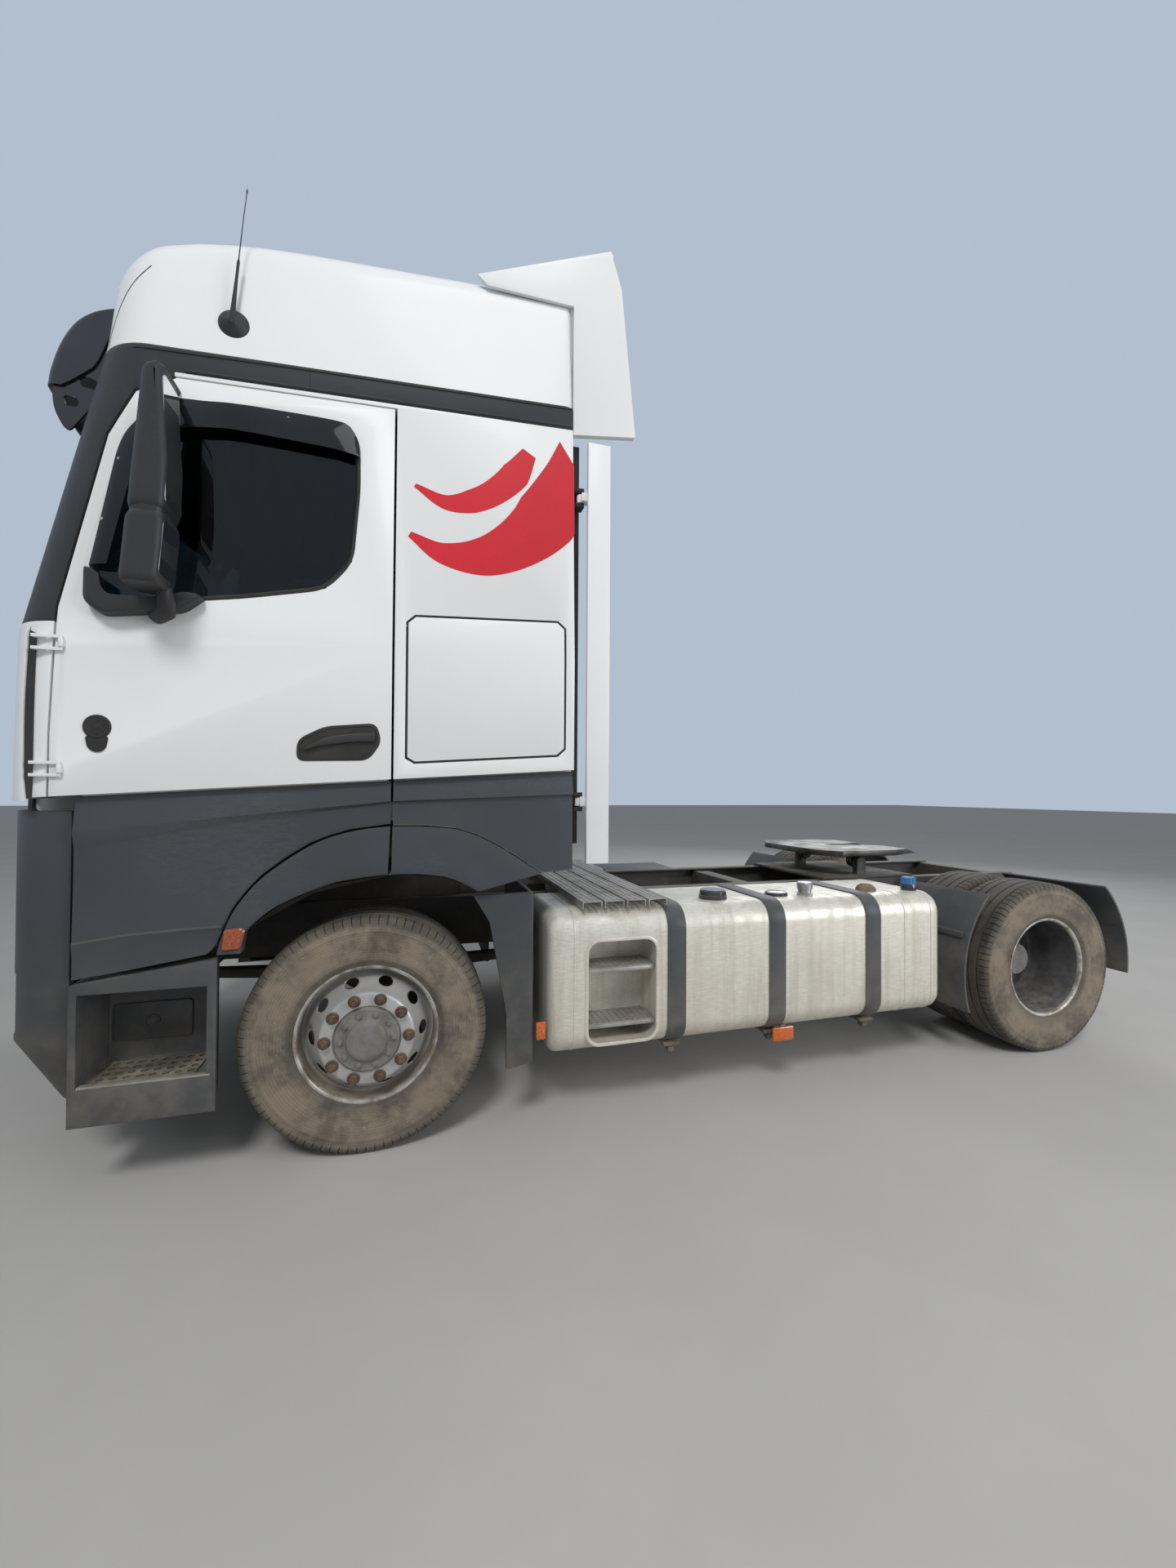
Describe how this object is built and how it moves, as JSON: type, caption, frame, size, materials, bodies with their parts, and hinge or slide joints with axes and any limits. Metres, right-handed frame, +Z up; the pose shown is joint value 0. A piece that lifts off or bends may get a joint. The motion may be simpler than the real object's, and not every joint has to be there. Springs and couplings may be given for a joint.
{
  "type": "tractor unit",
  "caption": "Cab-over tractor unit with high-roof sleeper cab, aluminium tank, fifth wheel, twin rear tyres; cab, doors, flaps, steering and wheels move.",
  "frame": {"origin": "on the ground, in the middle of the bounding box's length and width", "axes": "+X forward, +Y to the driver's left, +Z up"},
  "size_m": [6.02, 2.94, 4.165],
  "materials": {
    "cab_white": "gloss",
    "dark_plastic": "satin",
    "gloss_black": "gloss",
    "frame_paint": "satin",
    "tyre": "matte",
    "rim_paint": "satin",
    "tank_aluminium": "brushed",
    "bare_aluminium": "perforated, worn",
    "cast_parts": "rough",
    "plain_steel": "greased",
    "bellows_rubber": "matte",
    "window_glass": "clear",
    "lamp_glass": "clear",
    "seat_fabric": "woven",
    "visor_plastic": "gloss"
  },
  "bodies": {
    "chassis": {"chassis_frame": "frame_paint", "front_axle": "cast_parts", "rear_axle": "cast_parts", "air_bellows": "bellows_rubber", "engine_block": "cast_parts", "driveline": "cast_parts", "fuel_tank": "tank_aluminium", "tank_straps": "frame_paint", "tank_caps": "dark_plastic", "exhaust_box": "bare_aluminium", "battery_box": "dark_plastic", "air_tanks": "frame_paint", "catwalk": "bare_aluminium", "fifth_wheel_base": "frame_paint", "mudguards": "dark_plastic", "bumper": "dark_plastic", "step_boxes": "dark_plastic", "lamps": "lamp_glass"},
    "knuckle_left": {"knuckle_left": "cast_parts"},
    "knuckle_right": {"knuckle_right": "cast_parts"},
    "track_rod": {"tie_rod": "plain_steel"},
    "front_wheel_left": {"front_tyre_left": "tyre", "front_rim_left": "rim_paint"},
    "front_wheel_right": {"front_tyre_right": "tyre", "front_rim_right": "rim_paint"},
    "rear_wheels_left": {"rear_tyres_left": "tyre", "rear_rims_left": "rim_paint"},
    "rear_wheels_right": {"rear_tyres_right": "tyre", "rear_rims_right": "rim_paint"},
    "fifth_wheel": {"fifth_wheel": "plain_steel"},
    "cab": {"cab_shell": "cab_white", "cab_roof": "cab_white", "cab_trim": "dark_plastic", "deflector_posts": "dark_plastic", "windscreen": "window_glass", "front_grille": "dark_plastic", "cab_skirts": "dark_plastic", "seats": "seat_fabric", "dashboard": "dark_plastic", "sun_visor": "visor_plastic", "roof_spoiler": "cab_white"},
    "door_left": {"door_panel_left": "cab_white", "door_glass_left": "window_glass", "door_skirt_left": "dark_plastic", "mirror_left": "gloss_black"},
    "stowage_flap_left": {"stowage_flap_left": "cab_white"},
    "side_deflector_left": {"side_deflector_left": "cab_white"},
    "door_right": {"door_panel_right": "cab_white", "door_glass_right": "window_glass", "door_skirt_right": "dark_plastic", "mirror_right": "gloss_black"},
    "stowage_flap_right": {"stowage_flap_right": "cab_white"},
    "side_deflector_right": {"side_deflector_right": "cab_white"}
  },
  "joints": [
    {"name": "steer_left", "type": "hinge", "parent": "chassis", "child": "knuckle_left", "pos_m": [1.59, 0.87, 0.506], "axis": [0, 0, 1], "range_deg": [-45, 45]},
    {"name": "steer_right", "type": "hinge", "parent": "chassis", "child": "knuckle_right", "pos_m": [1.59, -0.87, 0.506], "axis": [0, 0, 1], "range_deg": [-45, 45]},
    {"name": "track_rod_pivot", "type": "hinge", "parent": "knuckle_left", "child": "track_rod", "pos_m": [1.4, 0.87, 0.375], "axis": [0, 0, 1], "range_deg": [-45, 45]},
    {"name": "front_spin_left", "type": "hinge", "parent": "knuckle_left", "child": "front_wheel_left", "pos_m": [1.59, 1.02, 0.506], "axis": [0, 1, 0], "continuous": true},
    {"name": "front_spin_right", "type": "hinge", "parent": "knuckle_right", "child": "front_wheel_right", "pos_m": [1.59, -1.02, 0.506], "axis": [0, 1, 0], "continuous": true},
    {"name": "rear_spin_left", "type": "hinge", "parent": "chassis", "child": "rear_wheels_left", "pos_m": [-2.26, 0.9, 0.506], "axis": [0, 1, 0], "continuous": true},
    {"name": "rear_spin_right", "type": "hinge", "parent": "chassis", "child": "rear_wheels_right", "pos_m": [-2.26, -0.9, 0.506], "axis": [0, 1, 0], "continuous": true},
    {"name": "coupling_rock", "type": "hinge", "parent": "chassis", "child": "fifth_wheel", "pos_m": [-1.66, 0, 1.06], "axis": [0, 1, 0], "range_deg": [-8, 8]},
    {"name": "cab_tilt", "type": "hinge", "parent": "chassis", "child": "cab", "pos_m": [2.86, 0, 0.97], "axis": [0, 1, 0], "range_deg": [0, 60]},
    {"name": "door_left_hinge", "type": "hinge", "parent": "cab", "child": "door_left", "pos_m": [2.65, 1.253, 2], "axis": [0, 0, -1], "range_deg": [0, 70]},
    {"name": "stowage_flap_left_hinge", "type": "hinge", "parent": "cab", "child": "stowage_flap_left", "pos_m": [1.1, 1.228, 2.25], "axis": [1, 0, 0], "range_deg": [0, 90]},
    {"name": "side_deflector_left_hinge", "type": "hinge", "parent": "cab", "child": "side_deflector_left", "pos_m": [0.66, 1.14, 2.3], "axis": [0, 0, -1], "range_deg": [0, 75]},
    {"name": "door_right_hinge", "type": "hinge", "parent": "cab", "child": "door_right", "pos_m": [2.65, -1.253, 2], "axis": [0, 0, 1], "range_deg": [0, 70]},
    {"name": "stowage_flap_right_hinge", "type": "hinge", "parent": "cab", "child": "stowage_flap_right", "pos_m": [1.1, -1.228, 2.25], "axis": [-1, 0, 0], "range_deg": [0, 90]},
    {"name": "side_deflector_right_hinge", "type": "hinge", "parent": "cab", "child": "side_deflector_right", "pos_m": [0.66, -1.14, 2.3], "axis": [0, 0, 1], "range_deg": [0, 75]}
  ],
  "couplings": [
    {"joint": "steer_right", "follows": "steer_left", "ratio": 1},
    {"joint": "track_rod_pivot", "follows": "steer_left", "ratio": -1}
  ]
}
